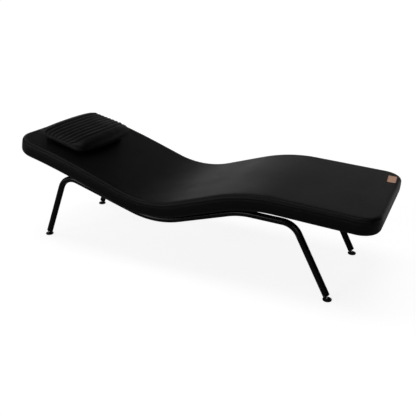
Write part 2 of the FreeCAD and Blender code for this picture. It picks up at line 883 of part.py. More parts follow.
def sole_master():
    """The soft sole under a disc; the ball's centre lies at its origin."""
    sole = doc.addObject("Part::Cylinder", "sole_master")
    bind(sole, Radius="sizes.disc_diameter / 2 - sizes.sole_inset",
         Height="sizes.sole_thickness", **{"Placement.Base.z": "-sizes.ball_height"})
    doc.recompute()
    return sole


plug = plug_master()
hex_nut = hex_nut_master()
stem = stem_master()
disc = disc_master()
sole = sole_master()
plug_spots = []
hex_nut_spots = []
LEGS = (
    ("head", head_ball, size("head_leg_lean"), head_tube_end),
    ("foot", foot_ball, -size("foot_leg_lean"), foot_tube_end),
)
for leg_name, ball, lean, tube_end in LEGS:
    turn = FreeCAD.Rotation(ACROSS, lean)
    for side_name, side in SIDES:
        shift = ACROSS * (side * rail_offset)
        end_placement = FreeCAD.Placement(tube_end + shift, turn)
        plug_spots.append(end_placement)
        nut_height = size("plug_length") - size("hex_nut_thickness") - size("hex_nut_cover")
        hex_nut_spots.append(moved(end_placement, 0, 0, nut_height))
        copies(f"foot_stem_{leg_name}_{side_name}", stem,
               [FreeCAD.Placement(ball + shift, turn)])
        level = FreeCAD.Placement(ball + shift, FreeCAD.Rotation())
        copies(f"glide_disc_{leg_name}_{side_name}", disc, [level])
        copies(f"glide_sole_{leg_name}_{side_name}", sole, [level])
copies("tube_plugs", plug, plug_spots)
copies("plug_nuts", hex_nut, hex_nut_spots)


# Neck pillow: a domed cushion with channels sewn across it and a seam all round

# places across, as shares of the half width, where the pillow's section is drawn
SECTION_SHARES = [0, 0.3, 0.55, 0.74, 0.87, 0.94, 0.98, 1]
# the section's rolls, as shares of the pillow's length (first) and of a height (second)
HEAD_ROLL_SHARES = [(0.022, 0.66), (0.077, 1.0)]
FRONT_ROLL_SHARES = [(0.863, 0.985), (0.915, 0.88), (0.975, 0.5)]
UNDER_SHARES = [(0.97, 0.28), (0.89, 0.0), (0.11, 0.0), (0.03, 0.28)]
END_HEIGHT_SHARE = 0.14
CROWN_POWER = 3.2

# as many grooves as fit with half a pitch left before the front roll
front_roll_start = FRONT_ROLL_SHARES[0][0] * size("pillow_length")
groove_room = front_roll_start - size("channel_pitch") / 2 - size("pillow_first_groove")
GROOVES = 1 + int(groove_room / size("channel_pitch"))


def crown_at(share):
    """How much of its full height the pillow keeps at a share of its half width."""
    full = (1 - share ** CROWN_POWER) ** (1 / CROWN_POWER)
    return END_HEIGHT_SHARE + (1 - END_HEIGHT_SHARE) * full


def corner_inset(share, half_width):
    """How far the plan's rounded corners draw the ends in."""
    radius = size("pillow_corner_radius")
    left = (1 - share) * half_width
    if left >= radius:
        return 0.0
    return radius - math.sqrt(radius ** 2 - (radius - left) ** 2)


def pillow_section(share, side, wall):
    """One closed section of the pillow, wall thinner all round where wall is not zero."""
    half_width = size("pillow_width") / 2 - wall
    draw = corner_inset(share, size("pillow_width") / 2)
    head = size("pillow_head_bow") * share ** 2 + draw + wall
    front = size("pillow_length") - size("pillow_front_bow") * share ** 2 - draw - wall
    length = size("pillow_length")
    seam = size("pillow_seam_height")
    crown = crown_at(share)

    def spot(along, height):
        x = head + (front - head) * along / length
        above = height - seam
        if above > 0:
            above = max(above * crown - wall, 0)
        elif above < 0:
            above = min(above * crown + wall, 0)
        return V(x, side * share * half_width, seam + above)

    def roll(shares, base, rise):
        return [(s * length, base + rise * h) for s, h in shares]

    grooves = []
    low = size("pillow_groove_height")
    rise = size("pillow_last_groove_height") - low
    for index in range(GROOVES):
        along = size("pillow_first_groove") + size("channel_pitch") * index
        grooves.append((along, low + rise * index / (GROOVES - 1)))
    bulge = size("channel_bulge")
    head_roll = roll(HEAD_ROLL_SHARES, seam, size("pillow_head_height") - seam)
    front_rise = size("pillow_last_groove_height") + bulge - seam
    front_roll = roll(FRONT_ROLL_SHARES, seam, front_rise)
    under = roll(UNDER_SHARES, 0, seam)
    arcs = [((0, seam), head_roll[0], head_roll[1])]
    valleys = [head_roll[1]] + grooves
    for first, last in zip(valleys, valleys[1:]):
        crest = ((first[0] + last[0]) / 2, (first[1] + last[1]) / 2 + bulge)
        arcs.append((first, crest, last))
    arcs.append((grooves[-1], front_roll[0], front_roll[1]))
    arcs.append((front_roll[1], front_roll[2], (length, seam)))
    arcs.append(((length, seam), under[0], under[1]))
    edges = [Part.Arc(*[spot(*p) for p in arc]).toShape() for arc in arcs]
    edges.append(Part.LineSegment(spot(*under[1]), spot(*under[2])).toShape())
    edges.append(Part.Arc(spot(*under[2]), spot(*under[3]), spot(0, seam)).toShape())
    return Part.Wire(edges)


def pillow_form(wall):
    """The pillow as a loft through its sections; the form inside a wall stops short."""
    shares = SECTION_SHARES[:-1] if wall else SECTION_SHARES
    sections = [pillow_section(share, -1, wall) for share in reversed(shares[1:])]
    sections += [pillow_section(share, 1, wall) for share in shares]
    return Part.makeLoft(sections, True, True)


back = top[0]
pillow_middle = size("pillow_from_head") + size("pillow_length") / 2
pillow_heading = back.heading_at(pillow_middle)
pillow_start = back.at(pillow_middle, -size("pillow_clearance"))
pillow_start -= heading_vector(pillow_heading) * (size("pillow_length") / 2)
pillow_place = FreeCAD.Placement(
    pillow_start, FreeCAD.Rotation(ACROSS, -math.degrees(pillow_heading)))
pillow_outer = pillow_form(0)
pillow_inner = pillow_form(size("pillow_wall"))
part_feature("pillow_cover", pillow_outer.cut(pillow_inner), pillow_place)
part_feature("pillow_core", pillow_inner, pillow_place)


# Check every object, then write one STEP file for each sub-part

doc.recompute()
for feature in doc.Objects:
    if "Invalid" in feature.State or "Error" in feature.State:
        raise RuntimeError(f"{feature.Name} failed: {feature.State}")
os.makedirs("parts", exist_ok=True)
whole_box = FreeCAD.BoundBox()
for label, feature in nodes:
    shape = feature.Shape
    if shape.isNull() or not shape.isValid():
        raise RuntimeError(f"{label} has no valid shape")
    if not shape.Solids:
        raise RuntimeError(f"{label} holds no solid")
    shape.exportStep(f"parts/{label}.step")
    whole_box.add(shape.BoundBox)
    print(f"{label}: {len(shape.Solids)} solid(s), {shape.Volume / 1000:.1f} cm3")
print(f"box {whole_box}")
print(f"rail corners {[(round(p.x, 1), round(p.z, 1)) for p in rail_points]}")
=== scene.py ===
import math

import bpy
import numpy as np
from mathutils import Matrix, Vector, noise

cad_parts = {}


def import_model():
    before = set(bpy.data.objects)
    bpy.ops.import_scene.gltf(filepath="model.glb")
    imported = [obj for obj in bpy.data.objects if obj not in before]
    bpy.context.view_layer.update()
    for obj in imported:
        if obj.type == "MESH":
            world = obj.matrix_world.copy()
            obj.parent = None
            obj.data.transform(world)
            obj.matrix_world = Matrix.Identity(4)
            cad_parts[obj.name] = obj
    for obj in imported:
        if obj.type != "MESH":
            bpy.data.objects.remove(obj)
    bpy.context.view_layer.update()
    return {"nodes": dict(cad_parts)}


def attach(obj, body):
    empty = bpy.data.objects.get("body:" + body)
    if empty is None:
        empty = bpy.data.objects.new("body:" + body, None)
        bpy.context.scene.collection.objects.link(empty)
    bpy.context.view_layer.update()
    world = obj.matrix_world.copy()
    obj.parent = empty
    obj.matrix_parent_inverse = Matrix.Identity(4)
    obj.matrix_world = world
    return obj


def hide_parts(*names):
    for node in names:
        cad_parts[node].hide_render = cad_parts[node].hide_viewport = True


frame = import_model()

# Sizes in metres and degrees, as in the construction

PAD_WIDTH = 0.700
PAD_THICKNESS = 0.085
PAD_EDGE = 0.0215
HEAD_CORNER = 0.120
FOOT_CORNER = 0.096
HEAD_END_HEIGHT = 0.605
HEAD_END_SLOPE = 12.4
# the pad's top line: each stretch's radius and turn, or its length
TOP_LINE = [
    {"radius": 4.020, "turn": -7.5},
    {"length": 0.169},
    {"radius": 0.517, "turn": 37.6},
    {"length": 0.225},
    {"radius": 0.843, "turn": -21.1},
    {"length": 0.462},
]
SKIN = 0.0015
SEAM_DEPTH = 0.025
TURNED_EDGE = 0.046
CLOTH_THICKNESS = 0.0008
CLOTH_GAP = 0.001

PILLOW_WIDTH = 0.498
PILLOW_LENGTH = 0.326
PILLOW_FROM_HEAD = 0.074
PILLOW_CLEARANCE = 0.0003
PILLOW_SEAM = 0.028
PILLOW_HEAD_HEIGHT = 0.055
FIRST_GROOVE = 0.054
GROOVE_PITCH = 0.0298
GROOVES = 8
GROOVE_HEIGHT = 0.054
LAST_GROOVE_HEIGHT = 0.074
CHANNEL_BULGE = 0.0058
FRONT_BOW = 0.026
HEAD_BOW = 0.008
PILLOW_HEAD_CORNER = 0.026
PILLOW_FRONT_CORNER = 0.044
WELT_RADIUS = 0.0024
WELT_STEP = 0.0022

LABEL_LENGTH = 0.042
LABEL_WIDTH = 0.096
LABEL_THICKNESS = 0.0014
LABEL_CORNER = 0.004
LABEL_FROM_FOOT = 0.022
LABEL_FROM_SIDE = 0.084
LABEL_TURN = 3.8

# The photograph's camera

CAMERA_PLACE = (1.2687, -2.5440, 1.4293)
CAMERA_PITCH = 22.913
CAMERA_YAW = 25.868
FOCAL_PIXELS = 556.09
FRAME_PIXELS = 416
SENSOR = 36.0
CAMERA_CLIP = (0.05, 200.0)


# The top line

def top_stretches(start_x):
    """Each stretch as its start, heading, length and curvature."""
    rows = []
    x, z = start_x, HEAD_END_HEIGHT
    heading = -math.radians(HEAD_END_SLOPE)
    for part in TOP_LINE:
        if "radius" in part:
            turn = math.radians(part["turn"])
            length = part["radius"] * abs(turn)
            curvature = turn / length
            rows.append((x, z, heading, length, curvature))
            x += (math.sin(heading + turn) - math.sin(heading)) / curvature
            z += (math.cos(heading) - math.cos(heading + turn)) / curvature
            heading += turn
        else:
            length = part["length"]
            rows.append((x, z, heading, length, 0.0))
            x += length * math.cos(heading)
            z += length * math.sin(heading)
    return rows


def along_top(rows, run, depth):
    """X, Z and heading for arrays of runs along the top line and depths below it."""
    run, depth = np.broadcast_arrays(np.asarray(run, float), np.asarray(depth, float))
    x = np.zeros(run.shape)
    z = np.zeros(run.shape)
    heading = np.zeros(run.shape)
    before = 0.0
    for index, (x0, z0, start, length, curvature) in enumerate(rows):
        inside = run >= before if index else np.ones(run.shape, bool)
        here = run - before
        if curvature:
            now = start + curvature * here
            px = x0 + (np.sin(now) - math.sin(start)) / curvature
            pz = z0 + (math.cos(start) - np.cos(now)) / curvature
        else:
            now = np.full(run.shape, start)
            px = x0 + here * math.cos(start)
            pz = z0 + here * math.sin(start)
        x = np.where(inside, px, x)
        z = np.where(inside, pz, z)
        heading = np.where(inside, now, heading)
        before += length
    return x + np.sin(heading) * depth, z - np.cos(heading) * depth, heading


trial = top_stretches(0.0)
PAD_RUN = sum(row[3] for row in trial)
head_reach = along_top(trial, PAD_EDGE, PAD_THICKNESS - PAD_EDGE)[0] - PAD_EDGE
foot_reach = along_top(trial, PAD_RUN - PAD_EDGE, PAD_EDGE)[0] + PAD_EDGE
STRETCHES = top_stretches(-(float(head_reach) + float(foot_reach)) / 2)


def pad_points(run, across, depth):
    """Points of the pad as an array of rows of X, Y, Z."""
    x, z, _ = along_top(STRETCHES, run, depth)
    across = np.broadcast_to(across, x.shape)
    return np.stack([x, across, z], axis=-1)


def pad_frame(run, across, depth=0.0):
    """A matrix at a point of the pad: X along it, Y across, Z out of its surface."""
    x, z, heading = along_top(STRETCHES, run, depth)
    turn = Matrix.Rotation(-float(heading), 4, "Y")
    return Matrix.Translation((float(x), across, float(z))) @ turn


# Mesh helpers

def new_object(name, points, faces, material, smooth=True):
    """A mesh object from points and faces, with its material and smooth shading."""
    mesh = bpy.data.meshes.new(name)
    mesh.from_pydata([tuple(p) for p in points], [], faces)
    mesh.validate()
    mesh.update()
    mesh.materials.append(material)
    if smooth:
        mesh.shade_smooth()
    piece = bpy.data.objects.new(name, mesh)
    bpy.context.scene.collection.objects.link(piece)
    return piece


def quad_strip(first, second):
    """Quads between two closed rings of vertex numbers of equal length."""
    count = len(first)
    return [(first[i], first[(i + 1) % count], second[(i + 1) % count], second[i])
            for i in range(count)]


def grid_faces(rows, columns, first=0, turned=False):
    """Quads of a grid of points from a first vertex number on; turned ones face the other way."""
    faces = []
    for i in range(rows - 1):
        for j in range(columns - 1):
            a = first + i * columns + j
            after = (a + columns, a + columns + 1, a + 1)
            faces.append((a, *reversed(after)) if turned else (a, *after))
    return faces


def grid_edge(rows, columns):
    """Row and column numbers round a grid's edge, in order."""
    order = [(0, j) for j in range(columns)]
    order += [(i, columns - 1) for i in range(1, rows)]
    order += [(rows - 1, j) for j in reversed(range(columns - 1))]
    order += [(i, 0) for i in reversed(range(1, rows - 1))]
    return order


def smoothstep(value):
    """0 to 1 with soft ends."""
    value = np.clip(value, 0, 1)
    return value * value * (3 - 2 * value)


def wobble(point, scale, seed):
    """Smooth noise between about -1 and 1 at a place."""
    return noise.noise(Vector(point) * scale + Vector((seed, seed * 0.7, -seed)))


def wobbles(point, waves):
    """The sum of some wobbles at a place: rows of height, scale and seed."""
    return sum(height * wobble(point, scale, seed) for height, scale, seed in waves)


# Material helpers

class Graph:
    """Short names for adding and joining the nodes of one tree."""

    def __init__(self, tree):
        self.tree = tree

    def add(self, kind, **settings):
        """A new node with its settings."""
        node = self.tree.nodes.new(kind)
        for key, value in settings.items():
            setattr(node, key, value)
        return node

    def join(self, source, target):
        """Link an output to a socket."""
        self.tree.links.new(source, target)

    def feed(self, socket, value):
        """A number or colour is set on the socket, an output is joined to it."""
        if isinstance(value, (int, float)):
            socket.default_value = value
        elif isinstance(value, tuple):
            socket.default_value = (*value, 1)
        else:
            self.join(value, socket)

    def math(self, operation, first, second):
        """A sum, product or the like of two values."""
        node = self.add("ShaderNodeMath", operation=operation)
        for socket, value in zip(node.inputs, (first, second)):
            self.feed(socket, value)
        return node.outputs["Value"]

    def span(self, source, low, high, start=0.0, end=1.0, **settings):
        """A value taken from the range start to end to the range low to high."""
        node = self.add("ShaderNodeMapRange", **settings)
        node.inputs["From Min"].default_value = start
        node.inputs["From Max"].default_value = end
        node.inputs["To Min"].default_value = low
        node.inputs["To Max"].default_value = high
        self.join(source, node.inputs["Value"])
        return node.outputs["Result"]


class Nodes(Graph):
    """The nodes of one material and its shader."""

    def __init__(self, name):
        self.material = bpy.data.materials.new(name)
        self.material.use_nodes = True
        super().__init__(self.material.node_tree)
        self.shader = self.tree.nodes["Principled BSDF"]
        self.place = self.add("ShaderNodeTexCoord").outputs["Object"]

    def stretch(self, scale):
        """The place, scaled by its own amount along each axis."""
        node = self.add("ShaderNodeMapping")
        node.inputs["Scale"].default_value = scale
        self.join(self.place, node.inputs["Vector"])
        return node.outputs["Vector"]

    def noise(self, scale, detail=3.0, roughness=0.5, distortion=0.0, place=None):
        """Cloudy noise from 0 to 1."""
        node = self.add("ShaderNodeTexNoise")
        node.inputs["Scale"].default_value = scale
        node.inputs["Detail"].default_value = detail
        node.inputs["Roughness"].default_value = roughness
        node.inputs["Distortion"].default_value = distortion
        self.join(place or self.place, node.inputs["Vector"])
        return node.outputs["Fac"]

    def cells(self, scale, feature="F1", place=None, randomness=1.0):
        """The distance from the middle or the edge of the nearest cell."""
        node = self.add("ShaderNodeTexVoronoi", feature=feature)
        node.inputs["Scale"].default_value = scale
        node.inputs["Randomness"].default_value = randomness
        self.join(place or self.place, node.inputs["Vector"])
        return node.outputs["Distance"]

    def mix(self, factor, first, second):
        """A colour between two colours."""
        node = self.add("ShaderNodeMix", data_type="RGBA")
        for socket, value in ((node.inputs["Factor"], factor), (node.inputs[6], first),
                              (node.inputs[7], second)):
            self.feed(socket, value)
        return node.outputs[2]

    def bump(self, height, distance, strength=1.0, below=None):
        """A bumpy normal from a height, over another one if there is one below."""
        node = self.add("ShaderNodeBump")
        node.inputs["Distance"].default_value = distance
        node.inputs["Strength"].default_value = strength
        self.join(height, node.inputs["Height"])
        if below is not None:
            self.join(below, node.inputs["Normal"])
        return node.outputs["Normal"]

    def set(self, **values):
        """Values for the shader's sockets."""
        for key, value in values.items():
            self.feed(self.shader.inputs[key.replace("_", " ")], value)


def tint(colour, share):
    """A colour made darker or lighter by a share."""
    return tuple(c * share for c in colour)


# the black leather's grain: how its cells are bent, and how deep grain and streaks are in metres
GRAIN_BEND_SCALE = 260
GRAIN_BEND = 0.0012
GRAIN_DEPTH = 0.00022
STREAK_DEPTH = 0.0006
# how much pebbles, creases and pores add to the grain's height
PEBBLE_SHARE = -0.55
CREASE_SHARE = 0.75
PORE_SHARE = 0.16


def black_leather(name, seed, base, rough, level):
    """Black upholstery leather: pebbled grain, fine pores, soft patches of wear and sheen, and
    painted shade darkening the grain's creases.
    """
    look = Nodes(name)
    shift = look.add("ShaderNodeMapping")
    shift.inputs["Location"].default_value = (seed, seed * 0.37, -seed)
    look.join(look.place, shift.inputs["Vector"])
    place = shift.outputs["Vector"]
    bend = look.add("ShaderNodeTexNoise")
    bend.inputs["Scale"].default_value = GRAIN_BEND_SCALE
    look.join(place, bend.inputs["Vector"])
    warp = look.add("ShaderNodeVectorMath", operation="MULTIPLY_ADD")
    look.join(bend.outputs["Color"], warp.inputs[0])
    warp.inputs[1].default_value = (GRAIN_BEND,) * 3
    look.join(place, warp.inputs[2])
    bent = warp.outputs["Vector"]
    pebbles = look.cells(scale=640, feature="SMOOTH_F1", place=bent)
    creases = look.cells(scale=410, feature="DISTANCE_TO_EDGE", place=bent)
    pores = look.noise(scale=2600, detail=2, roughness=0.6, place=place)
    patches = look.noise(scale=5.5, detail=4, roughness=0.55, place=place)
    streaks = look.noise(scale=38, detail=5, roughness=0.6, place=place)
    crease_depth = look.span(creases, 0.0, 1.0, end=0.16)
    height = look.math("MULTIPLY", pebbles, PEBBLE_SHARE)
    for part, share in ((crease_depth, CREASE_SHARE), (pores, PORE_SHARE)):
        height = look.math("ADD", height, look.math("MULTIPLY", part, share))
    tone = look.mix(patches, tint(base, 0.72), tint(base, 1.35))
    # painted shade: the tone is darkened toward the bottom of the grain's creases
    tone = look.mix(look.span(crease_depth, 0.35, 0.0), tone, tint(base, 0.4))
    worn = look.span(patches, rough - 0.025, rough + 0.03, start=0.3, end=0.7)
    worn = look.math("ADD", worn, look.span(streaks, -0.02, 0.02))
    worn = look.math("ADD", worn, look.span(crease_depth, 0.08, 0.0))
    tension = look.bump(streaks, distance=STREAK_DEPTH, strength=0.2)
    look.set(Base_Color=tone, Roughness=worn, Specular_IOR_Level=level, Sheen_Weight=0.012,
             Sheen_Roughness=0.5,
             Normal=look.bump(height, distance=GRAIN_DEPTH, strength=0.9, below=tension))
    return look.material


def tan_leather():
    """Smooth tan leather with cloudy patches and darker fibres."""
    look = Nodes("tan_leather")
    patches = look.noise(scale=60, detail=5, roughness=0.6)
    fibres = look.noise(scale=900, detail=3, roughness=0.6)
    tone = look.mix(patches, (0.76, 0.43, 0.29), (0.90, 0.56, 0.40))
    tone = look.mix(look.span(fibres, 0.0, 0.3), tone, (0.46, 0.22, 0.12))
    height = look.math("ADD", look.math("MULTIPLY", look.cells(scale=1400), 0.5), fibres)
    look.set(Base_Color=tone, Roughness=look.span(patches, 0.44, 0.6), Specular_IOR_Level=0.4,
             Normal=look.bump(height, distance=0.00012, strength=0.8))
    return look.material


def thread_fibre(name, colour):
    """Twisted sewing thread."""
    look = Nodes(name)
    twist = look.noise(scale=3200, detail=2)
    look.set(Base_Color=look.mix(twist, tint(colour, 0.6), colour),
             Roughness=look.span(twist, 0.55, 0.75), Specular_IOR_Level=0.3, Sheen_Weight=0.2,
             Normal=look.bump(twist, distance=0.0001, strength=0.8))
    return look.material


def powder_coat():
    """Black powder coat: fine orange peel, slightly rubbed patches."""
    look = Nodes("powder_coat")
    peel = look.noise(scale=900, detail=3, roughness=0.55)
    fine = look.noise(scale=4200, detail=2)
    rub = look.noise(scale=14, detail=5, roughness=0.65)
    rough = look.span(rub, 0.15, 0.25, start=0.3, end=0.7)
    height = look.math("ADD", peel, look.math("MULTIPLY", fine, 0.35))
    look.set(Base_Color=look.mix(rub, (0.0014, 0.0014, 0.0015), (0.0028, 0.0027, 0.0027)),
             Roughness=look.math("ADD", rough, look.span(fine, -0.03, 0.03)),
             Specular_IOR_Level=0.20, Normal=look.bump(height, distance=0.00016, strength=0.7))
    return look.material


def zinc_steel():
    """Bright zinc-plated steel with fine turning marks and dull specks."""
    look = Nodes("zinc_steel")
    marks = look.noise(scale=1.0, detail=3, roughness=0.6, place=look.stretch((900, 900, 9000)))
    specks = look.noise(scale=700, detail=4, roughness=0.6)
    rough = look.math("ADD", look.span(specks, 0.18, 0.34), look.span(marks, -0.05, 0.07))
    look.set(Base_Color=look.mix(specks, (0.50, 0.51, 0.53), (0.74, 0.74, 0.75)), Metallic=1.0,
             Roughness=rough, Normal=look.bump(marks, distance=0.00005, strength=0.6))
    return look.material


def moulded_black():
    """Black moulded plastic with a fine spark-eroded texture."""
    look = Nodes("moulded_black")
    fine = look.noise(scale=2400, detail=3, roughness=0.6)
    cloud = look.noise(scale=90, detail=3)
    look.set(Base_Color=look.mix(cloud, (0.0022, 0.0022, 0.0022), (0.0045, 0.0045, 0.0047)),
             Roughness=look.span(fine, 0.36, 0.5), Specular_IOR_Level=0.2,
             Normal=look.bump(fine, distance=0.00009, strength=0.6))
    return look.material


def sole_rubber():
    """Matt dark rubber with dust in its pores."""
    look = Nodes("sole_rubber")
    dust = look.noise(scale=1500, detail=4, roughness=0.65)
    dusty = look.span(dust, 0.0, 1.0, start=0.45, end=0.75)
    look.set(Base_Color=look.mix(dusty, (0.011, 0.011, 0.011), (0.036, 0.034, 0.032)),
             Roughness=look.span(dust, 0.72, 0.9), Specular_IOR_Level=0.25,
             Normal=look.bump(dust, distance=0.0002, strength=0.7))
    return look.material


def dust_fabric():
    """Thin black non-woven cloth with pressed dots and loose fibres."""
    look = Nodes("dust_fabric")
    dots = look.span(look.cells(scale=480, randomness=0.15), 0.0, 1.0, start=0.15, end=0.4)
    fibres = look.noise(scale=1300, detail=4, roughness=0.7, distortion=0.6)
    shade = look.math("MULTIPLY", dots, fibres)
    look.set(Base_Color=look.mix(shade, (0.006, 0.006, 0.0065), (0.022, 0.022, 0.024)),
             Roughness=look.span(fibres, 0.75, 0.95), Specular_IOR_Level=0.2, Sheen_Weight=0.15,
             Normal=look.bump(look.math("ADD", dots, fibres), distance=0.00025, strength=0.8))
    return look.material


def plywood():
    """Birch plywood: long grain on the faces with darker pores."""
    look = Nodes("plywood")
    place = look.stretch((3, 60, 60))
    grain = look.noise(scale=3.0, detail=6, roughness=0.65, distortion=0.4, place=place)
    pores = look.noise(scale=30.0, detail=3, roughness=0.7, place=place)
    tone = look.mix(grain, (0.44, 0.29, 0.15), (0.68, 0.50, 0.31))
    dark = look.span(pores, 0.25, 0.0, start=0.3, end=0.5)
    look.set(Base_Color=look.mix(dark, tone, (0.25, 0.14, 0.07)),
             Roughness=look.span(grain, 0.5, 0.68),
             Normal=look.bump(pores, distance=0.0002, strength=0.5))
    return look.material


PAD_LEATHER = black_leather("pad_leather", seed=0.31, base=(0.0016, 0.0015, 0.0016),
                            rough=0.36, level=0.14)
PILLOW_LEATHER = black_leather("pillow_leather", seed=1.73, base=(0.0024, 0.0023, 0.0024),
                               rough=0.43, level=0.20)
TAN = tan_leather()
BLACK_THREAD = thread_fibre("black_thread", (0.012, 0.012, 0.0125))
TAN_THREAD = thread_fibre("tan_thread", (0.42, 0.20, 0.10))
COAT = powder_coat()
ZINC = zinc_steel()
PLASTIC = moulded_black()
RUBBER = sole_rubber()
DUST_CLOTH = dust_fabric()
PLYWOOD = plywood()


# The pad's cover

CORNER_STEPS = 14
ROW_STEP = 0.017
COLUMNS = 40
# how the top face sinks toward its edge, and how it and the band swell in the middle
EDGE_SOFTNESS = 0.0005
EDGE_SOFT_REACH = 0.020
EDGE_SOFT_POWER = 2.2
TOP_SWELL = 0.00045
TOP_SWELL_REACH = 0.03
BAND_SWELL = 0.0007
# soft waves of the leather: rows of height, scale and seed
TOP_WAVES = [(0.00028, 7, 2.0), (0.00008, 26, 5.0)]
BAND_WAVES = [(0.0003, 9, 8.0)]
# the seam's groove: steps down the side, each with how far it is drawn in
SEAM_GROOVE = [(-0.0022, 0.0), (-0.0011, 0.0002), (-0.0004, 0.0010), (0.0, 0.0015),
               (0.0004, 0.0010), (0.0011, 0.0003), (0.0024, 0.0)]
UPPER_ROLL_STEPS = 8
BAND_STEPS = 6
LOWER_ROLL_STEPS = 7
LIP_ROUNDING = 0.0004


def plan_rows():
    """Rows of the plan: a run, or a corner's radius and angle, and the end that it belongs to."""
    rows = []
    for k in range(CORNER_STEPS):
        angle = 0.5 * math.pi * k / CORNER_STEPS
        rows.append((HEAD_CORNER, angle, 1))
    straight = PAD_RUN - HEAD_CORNER - FOOT_CORNER
    count = round(straight / ROW_STEP)
    for k in range(count + 1):
        rows.append((HEAD_CORNER + straight * k / count, None, 0))
    for k in reversed(range(CORNER_STEPS)):
        angle = 0.5 * math.pi * k / CORNER_STEPS
        rows.append((FOOT_CORNER, angle, -1))
    return rows


PLAN = plan_rows()


def plan_grid(inset):
    """Runs and crossings of the plan's grid, drawn in from the outer outline by inset."""
    runs = np.zeros((len(PLAN), COLUMNS + 1))
    cross = np.zeros((len(PLAN), COLUMNS + 1))
    spread = np.linspace(-1, 1, COLUMNS + 1)
    for i, (value, angle, end) in enumerate(PLAN):
        if end == 0:
            run, half = value, PAD_WIDTH / 2 - inset
        else:
            radius = value - inset
            along = value - radius * math.cos(angle)
            run = along if end > 0 else PAD_RUN - along
            half = PAD_WIDTH / 2 - value + radius * math.sin(angle)
        runs[i] = run
        cross[i] = spread * half
    return runs, cross


PLAN_EDGE = grid_edge(len(PLAN), COLUMNS + 1)


def plan_ring(inset):
    """Runs and crossings round the plan's edge, drawn in by inset."""
    runs, cross = plan_grid(inset)
    rows, columns = zip(*PLAN_EDGE)
    return runs[rows, columns], cross[rows, columns]


def edge_profile():
    """Insets and depths of the rings from the top face over the side to the turned edge."""
    rings = []
    for k in range(1, UPPER_ROLL_STEPS + 1):
        angle = 0.5 * math.pi * k / UPPER_ROLL_STEPS
        rings.append((PAD_EDGE * (1 - math.sin(angle)), EDGE_SOFTNESS
                      + (PAD_EDGE - EDGE_SOFTNESS) * (1 - math.cos(angle))))
    rings += [(inset, SEAM_DEPTH + step) for step, inset in SEAM_GROOVE]
    side = PAD_THICKNESS - PAD_EDGE
    band_top = SEAM_DEPTH + SEAM_GROOVE[-1][0]
    for k in range(1, BAND_STEPS):
        share = k / BAND_STEPS
        rings.append((-BAND_SWELL * math.sin(math.pi * share),
                      band_top + (side - band_top) * share))
    for k in range(LOWER_ROLL_STEPS + 1):
        angle = 0.5 * math.pi * k / LOWER_ROLL_STEPS
        rings.append((PAD_EDGE * (1 - math.cos(angle)), side + PAD_EDGE * math.sin(angle)))
    rings.append(((PAD_EDGE + TURNED_EDGE) / 2, PAD_THICKNESS))
    rings.append((TURNED_EDGE - LIP_ROUNDING, PAD_THICKNESS))
    rings.append((TURNED_EDGE, PAD_THICKNESS - LIP_ROUNDING))
    return rings


def pad_top():
    """Points of the pad's top face: it swells a little and sinks softly toward its edge."""
    runs, cross = plan_grid(PAD_EDGE)
    to_side = PAD_WIDTH / 2 - PAD_EDGE - np.abs(cross)
    to_end = np.minimum(runs, PAD_RUN - runs) - PAD_EDGE
    near = np.minimum(np.clip(to_side, 0, None), np.clip(to_end, 0, None))
    depth = (1 - np.clip(near / EDGE_SOFT_REACH, 0, 1)) ** EDGE_SOFT_POWER * EDGE_SOFTNESS
    for i, j in np.ndindex(*runs.shape):
        lift = wobbles((runs[i, j], cross[i, j], 0), TOP_WAVES)
        depth[i, j] += (TOP_SWELL + lift) * smoothstep(near[i, j] / TOP_SWELL_REACH)
    return pad_points(runs, cross, depth)


def pad_cover():
    """The whole cover as one closed form: top panel, side band and turned edge."""
    top = pad_top()
    rows, columns = top.shape[:2]
    points = list(top.reshape(-1, 3))
    faces = grid_faces(rows, columns)
    edge = [i * columns + j for i, j in PLAN_EDGE]
    last = edge
    for inset, ring_depth in edge_profile():
        runs, cross = plan_ring(inset)
        depth = [ring_depth + wobbles((a, b, ring_depth), BAND_WAVES) for a, b in zip(runs, cross)]
        current = list(range(len(points), len(points) + len(edge)))
        points.extend(pad_points(runs, cross, np.array(depth)))
        faces += quad_strip(last, current)
        last = current
    base = len(points)
    points.extend(pad_points(*plan_grid(TURNED_EDGE), PAD_THICKNESS - SKIN).reshape(-1, 3))
    faces += quad_strip(last, [base + k for k in edge])
    faces += grid_faces(rows, columns, base, turned=True)
    piece = new_object("pad_cover", points, faces, PAD_LEATHER)
    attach(piece, "lounger")
    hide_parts("cover_top", "cover_band", "foam_core")


# Rows of stitches

# each kind's pitch, length and thread radius in metres
PAD_STITCH = (0.0052, 0.0038, 0.0004)
GROOVE_STITCH = (0.0042, 0.0031, 0.0003)
LABEL_STITCH = (0.0036, 0.0026, 0.00032)
# how far the pad's row lies below the seam and outside the band, and the ring it faces to
PAD_STITCH_DROP = 0.0045
PAD_STITCH_OUT = 0.0001
STITCH_LOOK_OUT = 0.01
# the thread's form, and the share of its length below which a stitch is left out
THREAD_SIDES = 5
THREAD_SHOULDERS = (0.22, 0.78)
THREAD_RISE = 0.35
LEAST_STITCH = 0.5


def one_stitch(start, end, normal, radius, base):
    """Points and faces of a short round thread that dips in at both ends."""
    along = end - start
    along = along / np.linalg.norm(along)
    across = np.cross(normal, along)
    span = np.linalg.norm(end - start)
    points = [start - normal * radius]
    for share in THREAD_SHOULDERS:
        centre = start + along * span * share + normal * radius * THREAD_RISE
        for corner in range(THREAD_SIDES):
            angle = 2 * math.pi * corner / THREAD_SIDES
            points.append(centre + across * radius * math.cos(angle)
                          + normal * radius * math.sin(angle))
    points.append(end - normal * radius)
    low, high = base + 1, base + 1 + THREAD_SIDES
    faces = []
    for corner in range(THREAD_SIDES):
        after = (corner + 1) % THREAD_SIDES
        faces.append((base, low + after, low + corner))
        faces.append((low + corner, low + after, high + after, high + corner))
        faces.append((high + THREAD_SIDES, high + corner, high + after))
    return points, faces


